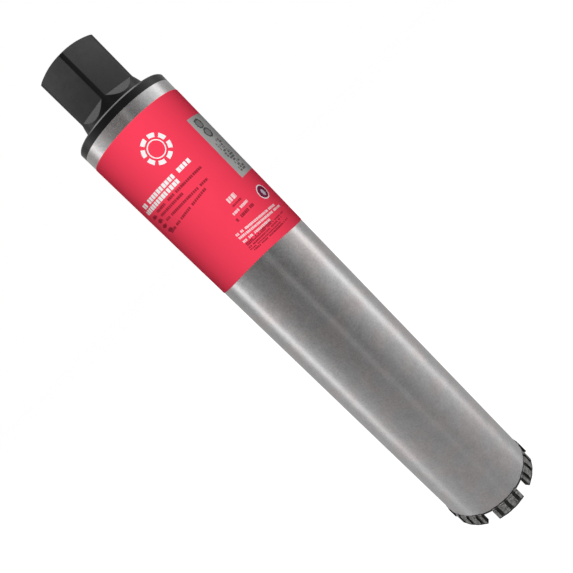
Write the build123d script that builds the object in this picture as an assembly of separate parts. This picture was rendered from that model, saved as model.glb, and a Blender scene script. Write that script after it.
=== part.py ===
from build123d import *
from math import degrees, radians, tan
import os

# Driving dimensions in millimetres; heights are counted from the cutting tips

# Barrel tube
tube_od = 74.0
tube_wall = 2.2
tube_length = 371.5

# Diamond segments round the crown, proud of the tube's wall outside and inside
segment_count = 7
segment_stand_out = 1.1
segment_stand_in = 0.7
segment_height = 8.5
segment_length = 24.7
tip_chamfer = 0.4
crown_turn = -2.3

# Grooves between the pads on a segment's outer and inner faces
groove_pitch = 8.2
groove_width = 2.4
outer_groove_depth = 1.0
inner_groove_depth = 0.6

# Hub flange, brazed on the tube's upper end
rim_height = 5.6
rim_chamfer = 1.0
spigot_length = 6.0
spigot_clearance = 0.05
spigot_chamfer = 0.8

# Turned collar of the hub and its six wrench flats
hub_height = 50.0
collar_diameter = 49.4
collar_foot_radius = 1.5
across_flats = 44.45
flat_length = 34.8
runout_angle = 26.0
end_face_diameter = 42.0
end_chamfer_angle = 22.0
hub_turn = 0.0

# Spindle thread in the collar, as a plain bore of its major diameter, and the water way below it
thread_major_diameter = 31.8
thread_depth = 40.0
thread_lead_in = 1.6
water_way_diameter = 25.4
water_way_chamfer = 1.0

# Printed label wrapped round the tube
label_thickness = 0.35
label_glue = 0.05
label_height = 112.5
label_below_hub = 8.2
label_seam = 3.0
label_lower_slant = 1.2

# Radii and heights that follow
tube_r = tube_od / 2
segment_outer_r = tube_r + segment_stand_out
segment_inner_r = tube_r - tube_wall - segment_stand_in
bore_r = thread_major_diameter / 2
collar_r = collar_diameter / 2
tube_foot_z = segment_height
tube_top_z = tube_foot_z + tube_length
hub_top_z = tube_top_z + hub_height
front = -90.0


def turned(profile, arc=360.0):
    """Solid turned about Z from a closed outline of (radius, height) points."""
    face = make_face(Plane.XZ * Polyline(*profile, close=True))
    return revolve(face, Axis.Z, arc)


def tube():
    outside = Cylinder(tube_r, tube_length)
    inside = Cylinder(tube_r - tube_wall, tube_length)
    return Pos(0, 0, tube_foot_z + tube_length / 2) * (outside - inside)


def hub_blank():
    """Flange, spigot and collar as one turned piece, with thread bore and water way."""
    spigot_r = tube_r - tube_wall - spigot_clearance
    spigot_z = tube_top_z - spigot_length
    rim_z = tube_top_z + rim_height
    water_r = water_way_diameter / 2
    thread_foot_z = hub_top_z - thread_depth
    end_r = end_face_diameter / 2
    chamfer_foot_z = hub_top_z - (collar_r - end_r) * tan(radians(end_chamfer_angle))
    blank = turned([
        (water_r, spigot_z + water_way_chamfer),
        (water_r + water_way_chamfer, spigot_z),
        (spigot_r - spigot_chamfer, spigot_z),
        (spigot_r, spigot_z + spigot_chamfer),
        (spigot_r, tube_top_z),
        (tube_r, tube_top_z),
        (tube_r, rim_z - rim_chamfer),
        (tube_r - rim_chamfer, rim_z),
        (collar_r, rim_z),
        (collar_r, chamfer_foot_z),
        (end_r, hub_top_z),
        (bore_r + thread_lead_in, hub_top_z),
        (bore_r, hub_top_z - thread_lead_in),
        (bore_r, thread_foot_z),
        (water_r, thread_foot_z),
    ])
    foot = blank.edges().filter_by(GeomType.CIRCLE).sort_by(
        lambda edge: abs(edge.radius - collar_r) + abs(edge.center().Z - rim_z))[0]
    return fillet(foot, collar_foot_radius)


def flat_cutter():
    """What the mill takes off for one flat, with the sloped run-out at its lower end."""
    apothem = across_flats / 2
    reach = collar_r + collar_foot_radius / 2
    flat_end_z = hub_top_z - flat_length
    runout_z = flat_end_z - (reach - apothem) / tan(radians(runout_angle))
    outline = Polyline(
        (apothem, flat_end_z),
        (apothem, hub_top_z + 1),
        (reach, hub_top_z + 1),
        (reach, runout_z),
        close=True)
    return extrude(make_face(Plane.XZ * outline), amount=collar_r, both=True)


def hub():
    body = hub_blank()
    for index in range(6):
        body -= Rot(0, 0, front + hub_turn + 30 + 60 * index) * flat_cutter()
    return body


def groove_angles(count):
    """Angles of evenly pitched grooves, set about the middle of a segment."""
    pitch = degrees(groove_pitch / segment_outer_r)
    return [(index - (count - 1) / 2) * pitch for index in range(count)]


def groove(radius, depth):
    """A slot as high as the segment, cut into the face at this radius along X."""
    return Pos(radius, 0, segment_height / 2) * Box(2 * depth, groove_width, 2 * segment_height)


def segment():
    """One segment on +X; its inner grooves stand between its outer ones and at its ends."""
    arc = degrees(segment_length / segment_outer_r)
    body = turned([
        (segment_inner_r, tip_chamfer),
        (segment_inner_r + tip_chamfer, 0),
        (segment_outer_r - tip_chamfer, 0),
        (segment_outer_r, tip_chamfer),
        (segment_outer_r, segment_height),
        (segment_inner_r, segment_height),
    ], arc)
    body = Rot(0, 0, -arc / 2) * body
    grooves_outside = round(segment_length / groove_pitch)
    for angle in groove_angles(grooves_outside):
        body -= Rot(0, 0, angle) * groove(segment_outer_r, outer_groove_depth)
    for angle in groove_angles(grooves_outside + 1):
        body -= Rot(0, 0, angle) * groove(segment_inner_r, inner_groove_depth)
    return body


def crown():
    """The ring of segments, the first of them turned a little from the front."""
    pitch = 360.0 / segment_count
    return {f"segment_{index + 1}": Rot(0, 0, front + crown_turn + pitch * index) * segment()
            for index in range(segment_count)}


def label():
    """Sleeve open by a narrow seam at the back, its lower edge cut slightly askew."""
    inner_r = tube_r + label_glue
    outer_r = inner_r + label_thickness
    top_z = tube_top_z - label_below_hub
    foot_z = top_z - label_height
    spare = 2 * outer_r * tan(radians(label_lower_slant))
    seam_angle = degrees(label_seam / outer_r)
    sleeve = turned([
        (inner_r, foot_z - spare),
        (outer_r, foot_z - spare),
        (outer_r, top_z),
        (inner_r, top_z),
    ], 360 - seam_angle)
    sleeve = Rot(0, 0, front + 180 + seam_angle / 2) * sleeve
    below = Box(4 * outer_r, 4 * outer_r, 4 * spare, align=(Align.CENTER, Align.CENTER, Align.MAX))
    return sleeve - Pos(0, 0, foot_z) * Rot(0, label_lower_slant, 0) * below


def main():
    os.makedirs("parts", exist_ok=True)
    nodes = {"tube": tube(), "hub": hub(), "label": label(), **crown()}
    for name, solid in nodes.items():
        export_step(solid, f"parts/{name}.step")


main()
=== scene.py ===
# Diamond core bit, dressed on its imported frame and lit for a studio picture
import math

import bmesh
import bpy
from mathutils import Matrix, Vector


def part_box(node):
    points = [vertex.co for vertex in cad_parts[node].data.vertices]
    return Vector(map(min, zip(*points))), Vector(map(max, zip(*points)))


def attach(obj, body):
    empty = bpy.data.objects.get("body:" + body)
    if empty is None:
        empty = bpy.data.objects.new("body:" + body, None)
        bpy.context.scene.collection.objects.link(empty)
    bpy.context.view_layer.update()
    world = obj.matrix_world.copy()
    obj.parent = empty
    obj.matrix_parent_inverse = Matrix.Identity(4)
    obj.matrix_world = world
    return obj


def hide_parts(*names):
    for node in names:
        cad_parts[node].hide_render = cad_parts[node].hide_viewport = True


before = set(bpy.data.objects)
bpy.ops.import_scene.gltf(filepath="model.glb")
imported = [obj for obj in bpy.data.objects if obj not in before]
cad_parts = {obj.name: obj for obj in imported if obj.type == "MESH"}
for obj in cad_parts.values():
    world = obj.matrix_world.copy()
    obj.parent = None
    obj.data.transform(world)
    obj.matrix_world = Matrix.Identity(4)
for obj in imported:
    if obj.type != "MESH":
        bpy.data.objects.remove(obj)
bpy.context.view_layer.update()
mm = 0.001
front = -90.0  # angle of the label's front round Z, in degrees
# the tube's radius and heights as the frame has them, in millimetres like the sizes below
tubeLow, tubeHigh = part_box("tube")
tubeRadius, tubeFoot, tubeTop = tubeHigh.x / mm, tubeLow.z / mm, tubeHigh.z / mm
hubTop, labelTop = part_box("hub")[1].z / mm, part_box("label")[1].z / mm


class Wire:
    # one output socket, so that shader and field maths reads as a plain expression

    def __init__(self, graph, socket):
        self.graph, self.socket = graph, socket

    def math(self, operation, *others):
        return self.graph.math(operation, self, *others)

    def other(self, name):
        return Wire(self.graph, self.socket.node.outputs[name])

    def __add__(self, value):
        return self.math("ADD", value)

    def __radd__(self, value):
        return self.graph.math("ADD", value, self)

    def __sub__(self, value):
        return self.math("SUBTRACT", value)

    def __rsub__(self, value):
        return self.graph.math("SUBTRACT", value, self)

    def __mul__(self, value):
        return self.math("MULTIPLY", value)

    def __rmul__(self, value):
        return self.graph.math("MULTIPLY", value, self)

    def __truediv__(self, value):
        return self.math("DIVIDE", value)

    def __rtruediv__(self, value):
        return self.graph.math("DIVIDE", value, self)

    def __neg__(self):
        return self * -1.0

    def __abs__(self):
        return self.math("ABSOLUTE")

    def near(self, middle, reach):
        return self.math("COMPARE", middle, reach)

    def above(self, value):
        return self.math("GREATER_THAN", value)

    def below(self, value):
        return self.math("LESS_THAN", value)

    def larger(self, value):
        return self.math("MAXIMUM", value)

    def floor(self):
        return self.math("FLOOR")

    def fraction(self):
        return self.math("FRACT")

    def ease(self, start, end, low=0.0, high=1.0):
        # smooth step from low at start to high at end
        return self.graph.add("ShaderNodeMapRange", {"interpolation_type": "SMOOTHSTEP"},
                              {"Value": self, "From Min": start, "From Max": end,
                               "To Min": low, "To Max": high})


class Graph:
    # a node tree and the one way in which nodes are added to it

    def __init__(self, tree):
        self.tree = tree

    def feed(self, socket, value):
        if isinstance(value, Wire):
            self.tree.links.new(value.socket, socket)
        else:
            socket.default_value = value

    def add(self, kind, settings=None, sockets=None, output=0):
        node = self.tree.nodes.new(kind)
        for name, value in (settings or {}).items():
            if name == "stops":
                self.setStops(node.color_ramp, value)
            else:
                setattr(node, name, value)
        for name, value in (sockets or {}).items():
            self.feed(node.inputs[name], value)
        return Wire(self, node.outputs[output]) if node.outputs else node

    def setStops(self, ramp, stops):
        while len(ramp.elements) > 1:
            ramp.elements.remove(ramp.elements[-1])
        for index, (place, level) in enumerate(stops):
            element = ramp.elements[0] if index == 0 else ramp.elements.new(place)
            element.position = place
            element.color = rgb(level, level, level)

    def math(self, operation, *values):
        return self.add("ShaderNodeMath", {"operation": operation}, dict(enumerate(values)))

    def vector(self, operation, *values, **named):
        sockets = dict(enumerate(values))
        sockets.update(named)
        return self.add("ShaderNodeVectorMath", {"operation": operation}, sockets)

    def mixColor(self, factor, first, second, blend="MIX"):
        return self.add("ShaderNodeMix", {"data_type": "RGBA", "blend_type": blend},
                        {0: factor, 6: first, 7: second}, output=2)


def rgb(red, green, blue):
    return (red, green, blue, 1.0)


class Finish(Graph):
    # a material with its Principled shader and the object's coordinates in millimetres

    def __init__(self, name, **constants):
        self.material = bpy.data.materials.new(name)
        self.material.use_nodes = True
        super().__init__(self.material.node_tree)
        self.tree.nodes.clear()
        shader = self.add("ShaderNodeBsdfPrincipled")
        self.add("ShaderNodeOutputMaterial", {}, {"Surface": shader})
        self.inputs = shader.socket.node.inputs
        self.connect(**constants)
        place = self.add("ShaderNodeTexCoord", output="Object")
        self.place = self.vector("SCALE", place, Scale=1 / mm)
        self.x = self.add("ShaderNodeSeparateXYZ", {}, {0: self.place})
        self.y, self.z = self.x.other("Y"), self.x.other("Z")
        self.radius = (self.x * self.x + self.y * self.y).math("SQRT")
        self.angle = self.math("ARCTAN2", self.x, -self.y)  # radians from the front, towards +X

    def noise(self, scale, detail=2.0, roughness=0.5, where=None):
        return self.add("ShaderNodeTexNoise", {},
                        {"Vector": where or self.place, "Scale": scale, "Detail": detail,
                         "Roughness": roughness})

    def wrapped(self, around, along):
        # coordinates unrolled from the cylinder, so that a grain follows the turning
        return self.add("ShaderNodeCombineXYZ", {},
                        {0: self.x * around / self.radius, 1: self.y * around / self.radius,
                         2: self.z * along})

    def alongSegment(self):
        # arc length from the middle of the nearest segment, in millimetres
        count, turn = segmentShape["count"], math.radians(segmentShape["turn"])
        share = ((self.angle - turn) * (count / (2 * math.pi)) + 0.5 + count).fraction()
        return (share - 0.5) * (2 * math.pi / count * segmentShape["outerRadius"])

    def bump(self, height, strength, distance=0.0002):
        return self.add("ShaderNodeBump", {},
                        {"Height": height, "Strength": strength, "Distance": distance})

    def gray(self, level, green=1.0, blue=1.0):
        return self.add("ShaderNodeCombineColor", {}, {0: level, 1: level * green, 2: level * blue})

    def connect(self, **values):
        for name, value in values.items():
            self.feed(self.inputs[name.replace("_", " ")], value)
        return self.material


# Finishes

barrelLook = {
    "base": 0.765, "roughness": 0.26, "anisotropy": 0.6, "bump": 0.05,
    "warm": (1.0, 0.938, 0.928), "cool": (0.965, 0.955, 0.965), "tintBand": (0.38, 0.62),
    "rings": 0.05, "specks": 0.36, "patches": 0.32,          # how much each noise changes the brightness
    "ringStretch": (1.2, 1.6), "speckScale": 0.65, "patchScale": 0.12, "tintScale": 0.055,
    "patchRough": 0.05, "speckRough": 0.06,
    # over each segment, counted from the tube's foot: a row of pits, a scorch, darker steel over the
    # grooves
    "rowHeight": 1.75, "rowWander": 0.9, "rowBand": (0.48, 0.22),
    "pitPitch": 2.3, "pitWander": 1.6, "pitBand": (0.66, 0.46),
    "scorchBand": (0.6, -0.2), "grooveDarkBand": (1.5, 1.0),
    "row": 0.52, "pit": 0.42, "scorch": 0.45, "grooveDark": 0.75,  # how much each darkens the steel
    "rimBand": (1.9, 1.4), "rim": 0.90,                      # the wall's lower edge in the gaps
    "seamShadeBand": (-0.14, -0.07), "seamShade": 0.90,              # painted shade: a thin dark line under the hub's rim, over the tube's top edge in the seam
}


def makeBarrelSteel():
    look, crown = barrelLook, segmentShape
    steel = Finish("barrelSteel", Metallic=1.0, Anisotropic=look["anisotropy"], Anisotropic_Rotation=0.25)
    turned = steel.noise(1.0, 3.0, 0.6, steel.wrapped(*look["ringStretch"]))  # fine turned rings
    patches = steel.noise(look["patchScale"], 3.0, 0.6)
    specks = steel.noise(look["speckScale"], 1.0)
    tint = steel.noise(look["tintScale"], 2.0).ease(*look["tintBand"])
    level = look["base"] * (1 + (specks - 0.5) * look["specks"] + (patches - 0.5) * look["patches"]
                            + (turned - 0.5) * look["rings"])
    along = steel.alongSegment()
    over = along.near(0.0, crown["length"] / 2)
    pits = steel.angle * tubeRadius / look["pitPitch"] + (steel.noise(0.5, 1.0) - 0.5) * look["pitWander"]
    pit = (pits + 100.0).fraction().ease(*look["pitBand"])
    fromRow = steel.z - (tubeFoot + look["rowHeight"])
    row = abs(fromRow + (steel.noise(0.7, 1.0) - 0.5) * look["rowWander"]).ease(*look["rowBand"])
    scorch = fromRow.ease(*look["scorchBand"])
    toGroove = abs((along / crown["groovePitch"] + 0.5).fraction() - 0.5) * crown["groovePitch"]
    grooveDark = toGroove.ease(*look["grooveDarkBand"]) * scorch * over
    rim = (steel.z - tubeFoot).ease(*look["rimBand"]) * (1 - over)
    # painted shade in the seam under the hub's rim
    seamShade = (steel.z - tubeTop).ease(*look["seamShadeBand"])
    level = level * (1 - over * row * (look["row"] + pit * look["pit"]))
    level = level * (1 - over * scorch * look["scorch"]) * (1 - grooveDark * look["grooveDark"])
    level = level * (1 - rim * look["rim"]) * (1 - seamShade * look["seamShade"])
    color = steel.mixColor(tint, rgb(*look["warm"]), rgb(*look["cool"]))
    color = steel.mixColor(1.0, color, steel.gray(level), "MULTIPLY")
    rough = look["roughness"] + (patches - 0.5) * look["patchRough"] + (specks - 0.5) * look["speckRough"]
    return steel.connect(Base_Color=color, Roughness=rough, Normal=steel.bump(turned, look["bump"]))


hubLook = {
    "turned": 0.002, "milledShadedFoot": 0.018, "milledLitTop": 0.035,  # brightness of turned faces, and of milled faces from their foot to their top: painted shade low, painted light high
    "middle": 0.80, "sideLight": 0.018,                        # painted light: milled faces gain towards both sides
    "milledBand": (0.20, 0.10),                              # how near to the plane of a flat
    "mottle": (0.35, 0.8, 0.5), "patchScale": 0.22, "grainScale": 1.6, "bump": 0.22,
    "roughness": 0.30, "turnedRoughness": 0.26, "patchRough": 0.16, "grainRough": 0.12,
}


def makeHubSteel():
    look = hubLook
    black = Finish("blackOxide", Specular_IOR_Level=0.5)
    patches = black.noise(look["patchScale"], 4.0, 0.6)
    grain = black.noise(look["grainScale"], 3.0, 0.65)
    # distance of a point from the axis, measured square to the nearest flat
    square = abs(black.y) * math.cos(math.radians(30)) + abs(black.x) * math.sin(math.radians(30))
    square = square.larger(abs(black.x))
    flatFoot, slope = hubTop - hubMill["flatLength"], math.tan(math.radians(hubMill["runOutSlope"]))
    milledTo = hubMill["acrossFlats"] / 2 + (flatFoot - black.z).larger(0.0) * slope
    milled = abs(square - milledTo).ease(*look["milledBand"])
    # painted light and shade on the milled faces: darker at their foot, lighter at the top and towards
    # both sides
    paintedLight = black.z.ease(flatFoot, hubTop, look["milledShadedFoot"], look["milledLitTop"])
    paintedLight = paintedLight * (look["middle"] + abs(black.x) * look["sideLight"])
    even, byPatch, byGrain = look["mottle"]
    mottled = even + patches * byPatch + grain * byGrain
    level = look["turned"] + milled * (paintedLight - look["turned"]) * mottled
    rough = look["turnedRoughness"] + milled * (look["roughness"] - look["turnedRoughness"])
    rough = rough + (patches - 0.5) * look["patchRough"] + (grain - 0.5) * look["grainRough"]
    return black.connect(Base_Color=black.gray(level, blue=1.03), Roughness=rough,
                         Normal=black.bump(grain, look["bump"]))


segmentLook = {
    "sunk": 0.026, "ground": 0.28,                           # brightness in the grooves, dark sinter skin with painted shade, and on the ground pads
    "rim": 0.10, "walls": 0.12,                              # what the tips' rim keeps of it under painted shade, and the walls under sinter skin and painted shade
    "outerPads": (-0.7, -0.4), "innerPads": (0.6, 0.35),     # where pads begin, from both faces' radius
    "rimBand": (1.30, 0.80), "wallSkinAndShadeBand": (0.45, 0.75), "endSkinAndShadeBand": (0.4, 0.15),
    "mottle": (3.6, 1.4, -1.5), "least": 0.08, "coarseScale": 0.62, "fineScale": 2.2, "bump": 0.3,
    "metallic": 0.55, "roughness": 0.5, "fineRough": 0.2,
}


def makeSegmentMatrix():
    look, size = segmentLook, segmentShape
    matrix = Finish("sinteredMatrix", Specular_IOR_Level=0.4)
    coarse = matrix.noise(look["coarseScale"], 2.0, 0.5)
    fine = matrix.noise(look["fineScale"], 2.0, 0.5)
    pads = (matrix.radius - size["outerRadius"]).ease(*look["outerPads"])
    pads = pads.larger((matrix.radius - size["innerRadius"]).ease(*look["innerPads"]))
    byCoarse, byFine, even = look["mottle"]
    mottled = (coarse * byCoarse + fine * byFine + even).larger(look["least"])
    level = look["sunk"] + pads * (look["ground"] - look["sunk"]) * mottled
    # painted shade: the tips' rim darker
    rim = matrix.z.ease(*look["rimBand"])
    # walls are the sides of the grooves, which look along the ring, and the ends: dark sinter skin there,
    # with painted shade
    facing = matrix.add("ShaderNodeTexCoord", output="Normal")
    facing = matrix.add("ShaderNodeSeparateXYZ", {}, {0: facing})
    sideways = abs(facing.other("Y") * matrix.x - facing * matrix.y) / matrix.radius
    toEnd = size["length"] / 2 - abs(matrix.alongSegment())
    walls = sideways.ease(*look["wallSkinAndShadeBand"]).larger(toEnd.ease(*look["endSkinAndShadeBand"]))
    # painted shade darkens the tips' rim; the walls darken by sinter skin and painted shade
    level = level * (1 - rim * (1 - look["rim"])) * (1 - walls * (1 - look["walls"]))
    return matrix.connect(Base_Color=matrix.gray(level, 0.99, 0.97),
                          Roughness=look["roughness"] + (fine - 0.5) * look["fineRough"],
                          Metallic=look["metallic"] + walls * (1 - look["metallic"]),
                          Normal=matrix.bump(fine, look["bump"]))


# noise scale and detail, then brightness and roughness as a least value and a spread
gritLook = {"noise": (1.4, 2.0), "level": (0.04, 0.12), "tint": (0.99, 0.9), "roughness": (0.25, 0.2)}
weldLook = {"noise": (1.5, 3.0), "level": (0.10, 0.22), "tint": (0.97, 0.94), "roughness": (0.40, 0.3)}


def makeMottled(name, look, metallic):
    mottled = Finish(name, Metallic=metallic)
    tone = mottled.noise(*look["noise"])
    level, levelSpread = look["level"]
    rough, roughSpread = look["roughness"]
    return mottled.connect(Base_Color=mottled.gray(level + tone * levelSpread, *look["tint"]),
                           Roughness=rough + tone * roughSpread)


# Print on the label, in millimetres: along the label from its front, and down from its upper edge

labelPrint = {
    "radius": 37.25,
    "bar": (0.66, 0.22, 0.13),           # a letter's least width and its spread, share left out
    # rows of print: start, end, depth, height, slope, width of a letter
    "heading": [(-41.5, 10.6, 38.6, 3.0, 0.0, 2.7), (-40.5, -3.3, 42.6, 3.0, 0.0, 2.7)],
    "darkRows": [
        (-30.6, 13.5, 46.4, 1.7, 0.0, 1.5), (-30.5, -7.4, 49.8, 1.7, 0.0, 1.5),
        (-30.0, 9.8, 54.0, 1.7, 0.0, 1.5), (-36.0, 4.5, 59.4, 1.7, -0.10, 1.5),
        (8.6, 16.6, 76.8, 1.3, 0.0, 1.2), (3.9, 20.2, 84.7, 2.2, 0.0, 1.2),
        (-2.2, 20.8, 99.6, 1.1, 0.055, 1.1), (-2.6, 29.3, 102.7, 1.1, 0.05, 1.1),
        (-2.9, 32.8, 106.2, 1.1, 0.065, 1.1), (-2.4, 34.5, 101.1, 0.9, 0.055, 1.1),
        (-2.7, 25.6, 104.4, 0.9, 0.06, 1.1),
    ],
    "whiteRows": [
        (8.6, 15.5, 72.5, 3.5, 0.0, 2.3), (5.2, 18.6, 80.5, 1.8, 0.0, 1.3),
        (-2.9, 33.1, 92.9, 1.6, 0.115, 1.2), (-2.9, 37.2, 95.8, 1.6, 0.115, 1.2),
        (-2.5, 20.8, 97.9, 1.6, 0.095, 1.2),
    ],
    "smudges": [(-37.0, 47.5), (-35.5, 51.5), (-35.8, 55.5), (-34.5, 59.5)],
    "smudge": (2.2, 1.8), "smudgeBand": (1.7, 0.9),          # stretch and unevenness of an edge
    # silver panel: left, right, top, bottom; strokes: width, pitch, share left out, share of the pitch
    "panel": (28.8, 57.0, 20.4, 68.6), "panelText": (33.0, 42.0, 39.5, 66.0),
    "stroke": (1.1, 2.0, 0.36, 0.74), "strokeFill": 0.8,
    "blots": [(36.0, 26.2), (37.0, 33.6)], "blot": (1.1, 2.4),
    "blotRadius": 3.1, "blotLine": 0.55, "blotFill": 0.5,
    "emblem": (0.5, 21.0), "blocks": 8, "blockShare": 0.33,  # place, then rings as radius and half width
    "blockRing": (8.3, 1.35), "thinRing": (5.4, 0.35),
    "sign": (34.0, 84.0), "signField": 4.6, "signRing": (5.0, 0.4),
    "drop": (0.4, 0.62, 2.5),                                # rise, share of width, radius
}
labelInk = {
    # color, and how much of the ground it covers
    "dark": ((0.13, 0.012, 0.02), 0.76), "marks": ((0.05, 0.05, 0.05), 0.9),
    "plum": ((0.20, 0.02, 0.06), 1.0), "drop": ((0.55, 0.50, 0.58), 1.0),
    "ring": ((0.86, 0.80, 0.82), 1.0), "small": ((0.86, 0.86, 0.86), 0.72),
    "white": ((0.88, 0.88, 0.88), 1.0),
}
labelGround = {
    # two tones, then scale and detail of the noise between them
    "red": ((0.90, 0.050, 0.098), (0.93, 0.055, 0.107), 0.05, 3.0),
    "silver": ((0.33, 0.33, 0.33), (0.50, 0.50, 0.49), 0.08, 2.0),
    "roughness": 0.42, "fineRough": 0.08, "fineScale": 0.6, "bump": 0.04,
}


def makeLabelFilm():
    film = Finish("printedFilm", Specular_IOR_Level=0.0)
    u = film.angle * labelPrint["radius"]
    v = labelTop - film.z

    def chance(across, down):
        return film.add("ShaderNodeTexWhiteNoise", {"noise_dimensions": "2D"},
                        {"Vector": film.add("ShaderNodeCombineXYZ", {}, {0: across, 1: down})})

    def rows(table):
        # lines of print as bars of uneven width, with gaps between words
        total, (least, spread, left) = None, labelPrint["bar"]
        for index, (start, end, depth, height, slope, cell) in enumerate(table):
            middle, half = (start + end) / 2, (end - start) / 2
            line = (v - (u - middle) * slope).near(depth, height / 2) * u.near(middle, half)
            step = (u + 100.0) / cell
            width = least + chance(step.floor(), index + 20.5) * spread
            letters = (width - step.fraction()).above(0.0)
            line = line * letters * chance(step.floor(), index + 0.5).above(left)
            total = line if total is None else total.larger(line)
        return total

    def box(left, right, top, bottom):
        inside = u.near((left + right) / 2, (right - left) / 2)
        return inside * v.near((top + bottom) / 2, (bottom - top) / 2)

    def distance(acrossAt, downAt, stretch=1.0):
        across, down = (u - acrossAt) / stretch, v - downAt
        return (across * across + down * down).math("SQRT")

    def printed(color, mask, name):
        ink, cover = labelInk[name]
        return film.mixColor(mask * cover, color, rgb(*ink))

    def ground(name):
        first, second, scale, detail = labelGround[name]
        return film.mixColor(film.noise(scale, detail), rgb(*first), rgb(*second))

    heading, small = rows(labelPrint["heading"]), rows(labelPrint["whiteRows"])
    dark = rows(labelPrint["darkRows"])
    blot = film.noise(0.9, 2.0)
    stretch, uneven = labelPrint["smudge"]
    for across, down in labelPrint["smudges"]:
        smudge = distance(across, down, stretch) + (blot - 0.5) * uneven
        dark = dark.larger(smudge.ease(*labelPrint["smudgeBand"]))

    # emblem: a ring of blocks, as a crown looks from its end
    across, down = labelPrint["emblem"]
    emblem = distance(across, down)
    turn = film.math("ARCTAN2", u - across, v - down) * (labelPrint["blocks"] / (2 * math.pi))
    blocks = (turn + labelPrint["blocks"]).fraction().near(0.5, labelPrint["blockShare"])
    heading = heading.larger(emblem.near(*labelPrint["blockRing"]) * blocks)
    heading = heading.larger(emblem.near(*labelPrint["thinRing"]))

    # water sign: a pale drop on plum in a thin ring
    across, down = labelPrint["sign"]
    sign = distance(across, down)
    rise, width, reach = labelPrint["drop"]
    drop = distance(across, down + rise, width).below(reach)

    # silver panel with two blots and short strokes
    marks, radius = 0.0, labelPrint["blotRadius"]
    stretch, uneven = labelPrint["blot"]
    for across, down in labelPrint["blots"]:
        patch = distance(across, down, stretch) + (blot - 0.5) * uneven
        outline = patch.near(radius, labelPrint["blotLine"])
        marks = outline.larger(patch.below(radius) * labelPrint["blotFill"]).larger(marks)
    width, pitch, left, share = labelPrint["stroke"]
    line = v / pitch
    strokes = chance((u / width).floor(), line.floor() + 60.5).above(left) * line.fraction().below(share)
    marks = marks.larger(strokes * box(*labelPrint["panelText"]) * labelPrint["strokeFill"])

    color = printed(ground("red"), dark, "dark")
    color = film.mixColor(box(*labelPrint["panel"]), color, ground("silver"))
    color = printed(color, marks, "marks")
    color = printed(color, sign.below(labelPrint["signField"]), "plum")
    color = printed(color, drop, "drop")
    color = printed(color, sign.near(*labelPrint["signRing"]), "ring")
    color = printed(color, small, "small")
    color = printed(color, heading, "white")
    fine = film.noise(labelGround["fineScale"], 3.0, 0.6)
    return film.connect(Base_Color=color, Normal=film.bump(fine, labelGround["bump"]),
                        Roughness=labelGround["roughness"] + (fine - 0.5) * labelGround["fineRough"])


# Mesh helpers

def newObject(name, mesh, *materials):
    for material in materials:
        mesh.materials.append(material)
    piece = bpy.data.objects.new(name, mesh)
    bpy.context.scene.collection.objects.link(piece)
    return piece


def meshFrom(name, points, faces):
    # points in millimetres
    mesh = bpy.data.meshes.new(name)
    mesh.from_pydata([Vector(point) * mm for point in points], [], faces)
    tidyNormals(mesh)
    return mesh


def tidyNormals(mesh, weld=1e-6):
    shape = bmesh.new()
    shape.from_mesh(mesh)
    bmesh.ops.remove_doubles(shape, verts=shape.verts, dist=weld)
    bmesh.ops.recalc_face_normals(shape, faces=shape.faces)
    shape.to_mesh(mesh)
    shape.free()


def skinned(name, points, count, capped=True):
    # quads from each closed ring of count points to the next, then two caps or a last row of quads
    rings, faces = len(points) // count, []
    for ring in range(rings - 1 if capped else rings):
        here, there = ring * count, (ring + 1) % rings * count
        for index in range(count):
            after = (index + 1) % count
            faces.append((here + index, there + index, there + after, here + after))
    if capped:
        faces += [tuple(range(count)), tuple(range((rings - 1) * count, rings * count))]
    return meshFrom(name, points, faces)


def lathe(name, outline, steps):
    # solid of revolution from a closed outline of (radius, height) points
    points = []
    for step in range(steps):
        turn = math.radians(front) + 2 * math.pi * step / steps
        points += [(r * math.cos(turn), r * math.sin(turn), z) for r, z in outline]
    return skinned(name, points, len(outline), capped=False)


def arc(middle, radius, start, end, steps):
    # points of an arc in the (radius, height) plane, in degrees
    return [(middle[0] + radius * math.cos(math.radians(start + (end - start) * i / steps)),
             middle[1] + radius * math.sin(math.radians(start + (end - start) * i / steps)))
            for i in range(steps + 1)]


def bake(piece):
    # what the modifiers make becomes the piece's plain mesh
    evaluated = piece.evaluated_get(bpy.context.evaluated_depsgraph_get())
    mesh = bpy.data.meshes.new_from_object(evaluated)
    piece.modifiers.clear()
    piece.data = mesh


def smooth(piece, angle):
    mesh = piece.data
    mesh.polygons.foreach_set("use_smooth", [True] * len(mesh.polygons))
    mesh.set_sharp_from_angle(angle=math.radians(angle))


def place(piece, slot, *nodes):
    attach(piece, "root")
    if nodes:
        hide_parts(*nodes)


class Growth(Graph):
    # a Geometry Nodes tree with one named input for each size

    def __init__(self, name, sizes):
        tree = bpy.data.node_groups.new(name, "GeometryNodeTree")
        super().__init__(tree)
        tree.interface.new_socket("Geometry", in_out="INPUT", socket_type="NodeSocketGeometry")
        tree.interface.new_socket("Geometry", in_out="OUTPUT", socket_type="NodeSocketGeometry")
        kinds = {int: "NodeSocketInt", float: "NodeSocketFloat"}
        self.values, self.keys = sizes, {}
        for label, value in sizes.items():
            kind = kinds.get(type(value), "NodeSocketObject")
            socket = tree.interface.new_socket(label, in_out="INPUT", socket_type=kind)
            self.keys[label] = socket.identifier
        self.group = self.add("NodeGroupInput")

    def size(self, label):
        return self.group.other(label)

    def finish(self, geometry, material=None):
        solid = self.add("GeometryNodeRealizeInstances", {}, {0: geometry})
        if material:
            solid = self.add("GeometryNodeSetMaterial", {}, {"Geometry": solid, "Material": material})
        self.add("NodeGroupOutput", {}, {0: solid})

    def grow(self, piece):
        modifier = piece.modifiers.new(self.tree.name, "NODES")
        modifier.node_group = self.tree
        for label, value in self.values.items():
            modifier[self.keys[label]] = value


# Barrel tube

barrel = {"wall": 2.2, "steps": 256, "edge": 0.25, "topEdge": 0.06}


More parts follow.
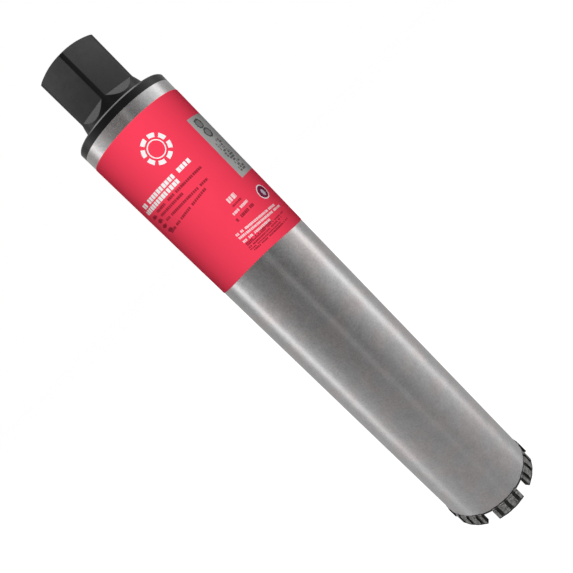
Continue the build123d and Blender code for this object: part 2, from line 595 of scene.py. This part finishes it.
def makeBarrel(steel):
    outer, inner = tubeRadius, tubeRadius - barrel["wall"]
    edge, top = barrel["edge"], barrel["topEdge"]
    low, high = tubeFoot, tubeTop
    outline = [(inner, low + 3 * edge)] + arc((inner + edge, low + edge), edge, 180, 270, 3)
    outline += arc((outer - edge, low + edge), edge, 270, 360, 3) + [(outer, low + 3 * edge)]
    outline += [(outer, high - 3 * top)] + arc((outer - top, high - top), top, 0, 90, 3)
    outline += arc((inner + top, high - top), top, 90, 180, 3) + [(inner, high - 3 * top)]
    piece = newObject("barrelTube", lathe("barrelTube", outline, barrel["steps"]), steel)
    smooth(piece, 40)
    place(piece, "barrel_steel", "tube")


# Hub: a turned blank, milled with six flats

hubTurn = {
    "waterRadius": 12.7, "waterEdge": 1.0, "spigotRadius": 34.75, "spigotEdge": 0.8, "spigotLength": 6.0,
    "rimHeight": 5.6, "rimEdge": 1.0, "collarRadius": 24.7, "footRounding": 1.5, "endRadius": 21.0,
    "endSlope": 22.0, "boreRadius": 15.9, "leadIn": 1.6, "boreDepth": 40.0, "steps": 180,
}
hubMill = {
    "flats": 6, "acrossFlats": 44.45, "flatLength": 34.8, "runOutSlope": 26.0, "over": 1.0,
    "weld": 0.02, "edgeRounding": 0.3, "smoothTo": 12, "roundFrom": 13,  # angles in degrees
}


def hubBlank():
    size = hubTurn
    spigotFoot, rimTop = tubeTop - size["spigotLength"], tubeTop + size["rimHeight"]
    endSlope = math.tan(math.radians(size["endSlope"]))
    chamferFoot = hubTop - (size["collarRadius"] - size["endRadius"]) * endSlope
    rounding = size["footRounding"]
    outline = [
        (size["waterRadius"], spigotFoot + size["waterEdge"]),
        (size["waterRadius"] + size["waterEdge"], spigotFoot),
        (size["spigotRadius"] - size["spigotEdge"], spigotFoot),
        (size["spigotRadius"], spigotFoot + size["spigotEdge"]),
        (size["spigotRadius"], tubeTop),
        (tubeRadius, tubeTop),
        (tubeRadius, rimTop - size["rimEdge"]),
        (tubeRadius - size["rimEdge"], rimTop),
    ]
    outline += arc((size["collarRadius"] + rounding, rimTop + rounding), rounding, 270, 180, 10)
    outline += [
        (size["collarRadius"], chamferFoot),
        (size["endRadius"], hubTop),
        (size["boreRadius"] + size["leadIn"], hubTop),
        (size["boreRadius"], hubTop - size["leadIn"]),
        (size["boreRadius"], hubTop - size["boreDepth"]),
        (size["waterRadius"], hubTop - size["boreDepth"]),
    ]
    return lathe("hub", outline, size["steps"])


def flatCutter():
    # what the mill takes off for one flat, on the side of +X
    apothem, reach = hubMill["acrossFlats"] / 2, hubTurn["collarRadius"] + hubTurn["footRounding"] / 2
    flatEnd, end = hubTop - hubMill["flatLength"], hubTop + hubMill["over"]
    runOut = flatEnd - (reach - apothem) / math.tan(math.radians(hubMill["runOutSlope"]))
    outline = [(apothem, flatEnd), (reach, runOut), (reach, end), (apothem, end)]
    points = [(x, side * hubTurn["collarRadius"], z) for side in (-1, 1) for x, z in outline]
    faces = [(0, 1, 2, 3), (7, 6, 5, 4)]
    faces += [(i, i + 4, (i + 1) % 4 + 4, (i + 1) % 4) for i in range(4)]
    return newObject("flatCutter", meshFrom("flatCutter", points, faces))


def makeHub(black):
    piece = newObject("hubBody", hubBlank(), black)
    cutter = flatCutter()
    tree = Growth("milledFlats", {"Flats": hubMill["flats"], "First Flat": math.radians(front + 30.0),
                                  "Cutter": cutter})
    tool = tree.add("GeometryNodeObjectInfo", {}, {"Object": tree.size("Cutter")}, output="Geometry")
    index = tree.add("GeometryNodeInputIndex")
    turn = index * (2 * math.pi / tree.size("Flats")) + tree.size("First Flat")
    spots = tree.add("GeometryNodePoints", {}, {"Count": tree.size("Flats")})
    ring = tree.add("GeometryNodeInstanceOnPoints", {}, {
        "Points": spots, "Instance": tool,
        "Rotation": tree.add("ShaderNodeCombineXYZ", {}, {2: turn})})
    ring = tree.add("GeometryNodeRealizeInstances", {}, {0: ring})
    milled = tree.add("GeometryNodeMeshBoolean", {"operation": "DIFFERENCE", "solver": "EXACT"},
                      {0: tree.size("Geometry"), 1: ring})
    tree.finish(milled, black)
    tree.grow(piece)
    bake(piece)
    bpy.data.objects.remove(cutter)
    tidyNormals(piece.data, hubMill["weld"] * mm)
    smooth(piece, hubMill["smoothTo"])
    bevel = piece.modifiers.new("rounding", "BEVEL")
    bevel.width, bevel.segments = hubMill["edgeRounding"] * mm, 2
    bevel.limit_method, bevel.angle_limit = "ANGLE", math.radians(hubMill["roundFrom"])
    bevel.use_clamp_overlap, bevel.harden_normals = True, True
    bake(piece)
    place(piece, "hub_steel", "hub")


# Spindle thread in the hub's bore

thread = {
    "pitch": 3.629, "minorRadius": 14.0, "start": 2.6, "length": 35.0, "root": 0.12, "perTurn": 64,
    "footShare": 0.9, "crestShare": 0.26,                    # widths of the ridge, as shares of the pitch
    "taper": 0.06, "thin": 0.05,                             # it thins to this over a share of its length
}


def threadProfile():
    # closed outline of the ridge: across the curve, then along the axis
    depth, half = hubTurn["boreRadius"] - thread["minorRadius"], thread["pitch"] / 2
    foot, crest, root = half * thread["footShare"], half * thread["crestShare"], -thread["root"]
    outline = [(root, -foot), (depth, -crest), (depth, crest), (root, foot)]
    mesh = bpy.data.meshes.new("threadProfile")
    mesh.from_pydata([(-a * mm, b * mm, 0) for a, b in outline], [(i, (i + 1) % 4) for i in range(4)], [])
    return newObject("threadProfile", mesh)


def makeThread(black):
    size, profile = thread, threadProfile()
    tree = Growth("threadRidge", {
        "Turns": size["length"] / size["pitch"], "Radius": hubTurn["boreRadius"] * mm,
        "Length": size["length"] * mm, "Foot": (hubTop - size["start"] - size["length"]) * mm,
        "Profile": profile})
    helix = tree.add("GeometryNodeCurveSpiral", {}, {
        "Resolution": size["perTurn"], "Rotations": tree.size("Turns"),
        "Start Radius": tree.size("Radius"), "End Radius": tree.size("Radius"),
        "Height": tree.size("Length"), "Reverse": False})
    helix = tree.add("GeometryNodeSetCurveNormal", {"mode": "Z_UP"}, {0: helix})
    along = tree.add("GeometryNodeSplineParameter")
    taper = along.ease(0.0, size["taper"]) * along.ease(1.0, 1 - size["taper"])
    helix = tree.add("GeometryNodeSetCurveRadius", {}, {
        0: helix, "Radius": size["thin"] + taper * (1 - size["thin"])})
    section = tree.add("GeometryNodeObjectInfo", {}, {"Object": tree.size("Profile")}, output="Geometry")
    section = tree.add("GeometryNodeMeshToCurve", {}, {0: section})
    solid = tree.add("GeometryNodeCurveToMesh", {}, {
        "Curve": helix, "Profile Curve": section, "Fill Caps": True})
    solid = tree.add("GeometryNodeTransform", {}, {
        "Geometry": solid, "Translation": tree.add("ShaderNodeCombineXYZ", {}, {2: tree.size("Foot")})})
    tree.finish(solid, black)
    piece = newObject("spindleThread", bpy.data.meshes.new("spindleThread"))
    tree.grow(piece)
    bake(piece)
    bpy.data.objects.remove(profile)
    tidyNormals(piece.data)
    smooth(piece, 30)
    place(piece, "hub_steel")


# Label sleeve

sleeve = {
    "inner": 37.05, "outer": 37.25, "edge": 0.08, "height": 112.5, "seam": 3.0, "steps": 240, "rows": 12,
    "slant": 1.2, "frontRise": 1.2, "sideDrop": 4.5,         # the lower edge: askew, and arched in front
}


def sleeveFoot(x, turn):
    # height of the lower edge
    arch = sleeve["sideDrop"] * math.sin(turn - math.radians(front)) ** 2 - sleeve["frontRise"]
    return labelTop - sleeve["height"] - x * math.tan(math.radians(sleeve["slant"])) - arch


def makeLabel(film):
    inner, outer, edge = sleeve["inner"], sleeve["outer"], sleeve["edge"]
    section = [(inner, 0.0, 0.0), (outer - edge, 0.0, 0.0), (outer, 0.0, edge), (outer, 0.0, 3 * edge)]
    section += [(outer, row / sleeve["rows"], 0.0) for row in range(1, sleeve["rows"])]
    section += [(outer, 1.0, -3 * edge), (outer, 1.0, -edge), (outer - edge, 1.0, 0.0), (inner, 1.0, 0.0)]
    half = 180 - math.degrees(sleeve["seam"] / outer) / 2
    points = []
    for step in range(sleeve["steps"] + 1):
        turn = math.radians(front - half + 2 * half * step / sleeve["steps"])
        for radius, share, offset in section:
            x, y = radius * math.cos(turn), radius * math.sin(turn)
            foot = sleeveFoot(x, turn)
            points.append((x, y, foot + (labelTop - foot) * share + offset))
    piece = newObject("labelSleeve", skinned("labelSleeve", points, len(section)), film)
    smooth(piece, 40)
    place(piece, "label_film", "label")


# Crown of diamond segments

segmentShape = {
    "count": 7, "turn": -2.3, "outerRadius": 38.03, "innerRadius": 34.13, "length": 24.7,
    "groovePitch": 8.2, "grooveWidth": 2.4, "outerDepth": 1.0, "innerDepth": 0.6, "arcSteps": 6,
    # from the tips upwards: height, inset of the edge, share of the groove's depth, spread of its width
    "layers": [(0.07, 0.1, 0.10, 0.7), (0.17, 0.0, 0.12, 0.7), (0.8, 0.0, 0.35, 0.5),
               (1.7, 0.0, 1.0, 0.3), (8.48, 0.0, 1.0, 0.0)],
    "voxel": 0.16, "roughness": 0.06, "inwards": 1.2, "coarseScale": 900.0, "fineScale": 2600.0,
    "gritPerArea": 1.0, "gritSize": 0.16, "gritScale": (0.5, 1.15), "gritSunk": 0.5, "seed": 7,
}


def groovedSide(radius, depth, count, half, spread):
    # (radius, angle) points along one face of a segment, groove by groove
    size = segmentShape
    pitch, gap = size["groovePitch"] / size["outerRadius"], (size["grooveWidth"] + spread) / 2
    walls = []
    for index in range(count):
        middle = (index - (count - 1) / 2) * pitch
        start, end = middle - gap / radius, middle + gap / radius
        floorStart, floorEnd = middle - gap / (radius - depth), middle + gap / (radius - depth)
        walls += [(radius, start), (radius - depth, floorStart),
                  (radius - depth, floorEnd), (radius, end)]
    return [(radius, -half)] + walls + [(radius, half)]


def fineArc(line):
    # extra points so that long stretches follow the circle, as many in every layer
    fine = []
    for index, ((r0, a0), (r1, a1)) in enumerate(zip(line, line[1:])):
        steps = 1 if index % 4 in (1, 3) else segmentShape["arcSteps"]
        fine += [(r0 + (r1 - r0) * k / steps, a0 + (a1 - a0) * k / steps) for k in range(steps)]
    return fine + [line[-1]]


def segmentOutline(shrink, share, spread):
    size = segmentShape
    grooves = round(size["length"] / size["groovePitch"])
    half = size["length"] / size["outerRadius"] / 2 - shrink / size["outerRadius"]
    outer, inner = size["outerRadius"] - shrink, size["innerRadius"] + shrink
    outside = groovedSide(outer, size["outerDepth"] * share, grooves, half, spread)
    inside = groovedSide(inner, -size["innerDepth"] * share, grooves - 1, half, spread)
    return fineArc(outside) + fineArc(inside)[::-1]


def segmentBlock(index):
    size = segmentShape
    middle = math.radians(front + size["turn"] + 360.0 / size["count"] * index)
    points = []
    for z, shrink, share, spread in size["layers"]:
        points += [(r * math.cos(middle + a), r * math.sin(middle + a), z)
                   for r, a in segmentOutline(shrink, share, spread)]
    return skinned("segment", points, len(points) // len(size["layers"]))


def crownTree(matrix, grit, seed):
    size = segmentShape
    tree = Growth("sinteredSurface", {
        "Roughness": size["roughness"] * mm, "Grit per Area": size["gritPerArea"] * 1e6,
        "Grit Size": size["gritSize"] * mm, "Seed": seed})
    where = tree.add("GeometryNodeInputPosition")
    coarse, fine = (tree.add("ShaderNodeTexNoise", {}, {"Vector": where, "Scale": scale, "Detail": detail})
                    for scale, detail in ((size["coarseScale"], 3.0), (size["fineScale"], 2.0)))
    lift = (coarse + fine * 0.5) * -size["inwards"] * tree.size("Roughness")
    offset = tree.vector("SCALE", tree.add("GeometryNodeInputNormal"), Scale=lift)
    rough = tree.add("GeometryNodeSetPosition", {}, {"Geometry": tree.size("Geometry"), "Offset": offset})
    rough = tree.add("GeometryNodeSetMaterial", {}, {"Geometry": rough, "Material": matrix})
    spread = tree.add("GeometryNodeDistributePointsOnFaces", {}, {
        "Mesh": rough, "Density": tree.size("Grit per Area"), "Seed": tree.size("Seed")})
    sunk = tree.vector("SCALE", spread.other("Normal"), Scale=tree.size("Grit Size") * -size["gritSunk"])
    spread = tree.add("GeometryNodeSetPosition", {}, {"Geometry": spread, "Offset": sunk})
    crystal = tree.add("GeometryNodeMeshIcoSphere", {}, {
        "Radius": tree.size("Grit Size"), "Subdivisions": 1})
    crystal = tree.add("GeometryNodeSetMaterial", {}, {"Geometry": crystal, "Material": grit})
    spin = tree.add("FunctionNodeRandomValue", {"data_type": "FLOAT_VECTOR"},
                    {"Max": (6.28, 6.28, 6.28), "Seed": tree.size("Seed")})
    least, most = size["gritScale"]
    scale = tree.add("FunctionNodeRandomValue", {"data_type": "FLOAT"},
                     {2: least, 3: most, "Seed": tree.size("Seed")}, output=1)
    crystals = tree.add("GeometryNodeInstanceOnPoints", {}, {
        "Points": spread, "Instance": crystal, "Rotation": spin, "Scale": scale})
    joined = tree.add("GeometryNodeJoinGeometry")
    for geometry in (crystals, rough):
        tree.feed(joined.socket.node.inputs[0], geometry)
    tree.finish(joined)
    return tree


def makeCrown(matrix, grit):
    size = segmentShape
    for index in range(size["count"]):
        piece = newObject("diamondSegment_%d" % (index + 1), segmentBlock(index), matrix)
        remesh = piece.modifiers.new("sintered", "REMESH")
        remesh.mode, remesh.voxel_size = "VOXEL", size["voxel"] * mm
        bake(piece)
        crownTree(matrix, grit, size["seed"] + index).grow(piece)
        bake(piece)
        smooth(piece, 50)
        place(piece, "diamond_matrix", "segment_%d" % (index + 1))


# Weld beads between the tube and the segments

weldBead = {
    "pitch": 1.05, "outside": 37.1, "inside": 34.7, "rise": 0.35, "waver": 0.12, "arcShare": 0.99,
    "size": (0.75, 1.9, 0.95), "least": (1.9, 0.9, 1.8), "most": (2.1, 1.05, 2.1),  # depth, width, height
    "bare": 1.5, "seed": 3,                                  # no bead this near to a groove
}


def makeWelds(weld):
    size, crown = weldBead, segmentShape
    sides = {"weldOutside": (size["outside"], 0.5), "weldInside": (size["inside"], 0.0)}
    for order, (name, (radius, shift)) in enumerate(sides.items()):
        tree = Growth(name, {
            "Segments": crown["count"], "Ripples": int(crown["length"] / size["pitch"]),
            "Radius": radius * mm, "Height": (tubeFoot + size["rise"]) * mm,
            "Arc": crown["length"] / crown["outerRadius"] * size["arcShare"],
            "Groove Pitch": crown["groovePitch"] / crown["outerRadius"],
            "Bare": size["bare"] / crown["outerRadius"], "Seed": size["seed"] + order})
        spots = tree.add("GeometryNodePoints", {}, {
            "Count": tree.size("Segments") * tree.size("Ripples")})
        index = tree.add("GeometryNodeInputIndex")
        segment = (index / tree.size("Ripples")).floor()
        ripple = index - segment * tree.size("Ripples")
        turn = segment * (2 * math.pi / tree.size("Segments")) + math.radians(front + crown["turn"])
        along = ((ripple + 0.5) / tree.size("Ripples") - 0.5) * tree.size("Arc")
        turn, groove = turn + along, tree.size("Groove Pitch")
        fromGroove = abs((along / groove + shift).fraction() - 0.5) * groove
        waver = size["waver"] * mm
        lift = tree.add("FunctionNodeRandomValue", {"data_type": "FLOAT"},
                        {2: -waver, 3: waver, "Seed": tree.size("Seed")}, output=1)
        where = tree.add("ShaderNodeCombineXYZ", {}, {
            0: turn.math("COSINE") * tree.size("Radius"), 1: turn.math("SINE") * tree.size("Radius"),
            2: tree.size("Height") + lift})
        spots = tree.add("GeometryNodeSetPosition", {}, {"Geometry": spots, "Position": where})
        bead = tree.add("GeometryNodeMeshIcoSphere", {}, {"Radius": 0.5 * mm, "Subdivisions": 2})
        least, most = (tuple(a * b for a, b in zip(size["size"], size[key])) for key in ("least", "most"))
        scale = tree.add("FunctionNodeRandomValue", {"data_type": "FLOAT_VECTOR"},
                         {"Min": least, "Max": most, "Seed": tree.size("Seed")})
        beads = tree.add("GeometryNodeInstanceOnPoints", {}, {
            "Points": spots, "Instance": bead, "Scale": scale,
            "Selection": fromGroove.above(tree.size("Bare")),
            "Rotation": tree.add("ShaderNodeCombineXYZ", {}, {2: turn})})
        tree.finish(beads, weld)
        piece = newObject(name, bpy.data.meshes.new(name))
        tree.grow(piece)
        bake(piece)
        smooth(piece, 60)
        place(piece, "diamond_matrix")


# Studio

cameraView = {
    "lens": 34.244, "sensor": 36.0, "clip": (0.01, 50.0),
    "place": (0.0, -0.3787, 0.3057), "down": 11.62, "pan": -0.511, "roll": -45.168,  # metres and degrees
}


def makeCamera():
    down, pan, roll = (math.radians(cameraView[key]) for key in ("down", "pan", "roll"))
    ahead = Vector((math.sin(pan) * math.cos(down), math.cos(pan) * math.cos(down), -math.sin(down)))
    right = ahead.cross(Vector((0, 0, 1))).normalized()
    up = right.cross(ahead)
    across = right * math.cos(roll) + up * math.sin(roll)
    over = up * math.cos(roll) - right * math.sin(roll)
    camera = bpy.data.objects.new("studioCamera", bpy.data.cameras.new("studioCamera"))
    bpy.context.scene.collection.objects.link(camera)
    camera.data.lens, camera.data.sensor_width = cameraView["lens"], cameraView["sensor"]
    camera.data.clip_start, camera.data.clip_end = cameraView["clip"]
    turn = Matrix((across, over, -ahead)).transposed().to_4x4()
    camera.matrix_world = Matrix.Translation(cameraView["place"]) @ turn
    bpy.context.scene.camera = camera


# soft light from all round: what gloss sees, and the even light on matt surfaces
tent = {
    # (degrees round from the front, radiance) at the barrel's height
    "round": [
        (-180, 0.42), (-150, 0.38), (-132, 0.37), (-116, 0.38), (-105, 0.66), (-99, 1.13), (-93, 1.13),
        (-86, 0.60), (-76, 0.40), (-66, 0.355), (-56, 0.24), (-36, 0.175), (-18, 0.14), (-4, 0.126),
        (0, 0.138), (5, 0.26), (10, 0.235), (15, 0.126), (22, 0.13), (36, 0.20), (56, 0.34), (66, 0.44),
        (78, 0.52), (88, 0.74), (94, 1.08), (100, 1.19), (106, 0.80), (116, 0.42), (132, 0.37),
        (150, 0.37), (180, 0.42)],
    "highest": 2.0,                      # the ramp holds shares of this radiance
    "middle": 0.16, "middleLow": 0.35,   # in the front, at the barrel's height and near the floor
    "middleFade": (-8, -42), "panelFade": (-12, -50),  # heights in degrees between which each gives way
    "upper": (2, 10), "gain": (0.34, 0.22),  # brighter above: in front, and more to the sides
    "gainSides": (40, 60), "gainEnds": (100, 78),
    "dim": (100, 118, 0.78), "dimHeights": (-14, 4),   # less light behind the side panels
    "top": 3.0, "topHeights": (48, 62),
    "matt": 0.045,
}
softboxes = {
    "aim": (0.0, 0.0, 0.25),
    # name, azimuth, elevation, distance, width, height, radiance
    "boxes": [
        ("keyBox", 1.0, 46.0, 3.0, 1.7, 1.3, 18.9),
        ("leftBackBox", -156.0, 30.0, 3.0, 0.9, 1.3, 14.0),
        ("rightBackBox", 156.0, 30.0, 3.0, 0.9, 1.3, 14.0),
    ],
}
floorLook = {"glow": 0.99, "matt": 0.1, "reach": 12.0}


def makeWorld():
    world = bpy.data.worlds.new("studioTent")
    world.use_nodes = True
    bpy.context.scene.world = world
    sky = Graph(world.node_tree)
    sky.tree.nodes.clear()
    direction = sky.add("ShaderNodeTexCoord", output="Generated")
    x = sky.add("ShaderNodeSeparateXYZ", {}, {0: direction})
    y, z = x.other("Y"), x.other("Z")
    around = sky.math("ARCTAN2", x, -y) / (2 * math.pi)
    stops = [((degrees + 180) / 360, level / tent["highest"]) for degrees, level in tent["round"]]
    level = sky.add("ShaderNodeValToRGB", {"stops": stops}, {0: around + 0.5}) * tent["highest"]
    height = z.math("ARCSINE") * (180 / math.pi)
    panels = height.ease(*tent["panelFade"], 1.0, 0.0)
    middle = height.ease(*tent["middleFade"], tent["middle"], tent["middleLow"])
    level = (level - tent["middle"]) * panels + middle
    aside = abs(around) * 360
    inner, outer, share = tent["dim"]
    above = height.ease(*tent["upper"])
    dim = aside.ease(inner, outer) * height.ease(*tent["dimHeights"]) * (1 - above)
    ahead, sides = tent["gain"]
    gain = (ahead + sides * aside.ease(*tent["gainSides"])) * aside.ease(*tent["gainEnds"])
    level = level * (1 - dim * (1 - share)) * (1 + above * gain)
    level = level + height.ease(*tent["topHeights"]) * (tent["top"] - level)
    path = sky.add("ShaderNodeLightPath", output="Is Glossy Ray")
    level = tent["matt"] + path * (level - tent["matt"])
    seen = sky.add("ShaderNodeBackground", {}, {"Color": rgb(1, 1, 1), "Strength": 1.0})
    lit = sky.add("ShaderNodeBackground", {}, {"Color": rgb(1, 1, 1), "Strength": level})
    both = sky.add("ShaderNodeMixShader", {}, {0: path.other("Is Camera Ray"), 1: lit, 2: seen})
    sky.add("ShaderNodeOutputWorld", {}, {"Surface": both})


def makeLights():
    for name, azimuth, elevation, distance, width, height, radiance in softboxes["boxes"]:
        light = bpy.data.lights.new(name, "AREA")
        light.shape, light.size, light.size_y = "RECTANGLE", width, height
        light.energy = radiance * math.pi * width * height
        lamp = bpy.data.objects.new(name, light)
        bpy.context.scene.collection.objects.link(lamp)
        around, rise = math.radians(azimuth), math.radians(elevation)
        away = Vector((math.sin(around), -math.cos(around), math.tan(rise))).normalized()
        turn = away.to_track_quat("Z", "Y").to_matrix().to_4x4()
        lamp.matrix_world = Matrix.Translation(Vector(softboxes["aim"]) + away * distance) @ turn
        lamp.visible_camera = lamp.visible_glossy = False  # gloss sees the tent alone


def makeFloor():
    pale = bpy.data.materials.new("paleFloor")
    pale.use_nodes = True
    paint = Graph(pale.node_tree)
    paint.tree.nodes.clear()
    white, gray = rgb(1, 1, 1), rgb(*[floorLook["matt"]] * 3)
    glow = paint.add("ShaderNodeEmission", {}, {"Color": white, "Strength": floorLook["glow"]})
    matt = paint.add("ShaderNodeBsdfDiffuse", {}, {"Color": gray})
    both = paint.add("ShaderNodeAddShader", {}, {0: glow, 1: matt})
    paint.add("ShaderNodeOutputMaterial", {}, {"Surface": both})
    mesh, reach = bpy.data.meshes.new("floor"), floorLook["reach"]
    corners = [(-reach, -reach, 0), (reach, -reach, 0), (reach, reach, 0), (-reach, reach, 0)]
    mesh.from_pydata(corners, [], [(0, 1, 2, 3)])
    floor = newObject("floor", mesh, pale)
    floor.visible_glossy = floor.visible_diffuse = False


makeCamera()
makeWorld()
makeLights()
makeFloor()
bpy.context.scene.view_settings.view_transform = "Standard"
print("studio ready")

steel, black, film = makeBarrelSteel(), makeHubSteel(), makeLabelFilm()
matrix = makeSegmentMatrix()
grit, weld = makeMottled("diamondGrit", gritLook, 0.0), makeMottled("weldBead", weldLook, 0.7)
print("finishes ready")

makeBarrel(steel)
print("barrel ready")
makeHub(black)
makeThread(black)
print("hub ready")
makeLabel(film)
print("label ready")
makeCrown(matrix, grit)
makeWelds(weld)
print("crown ready")
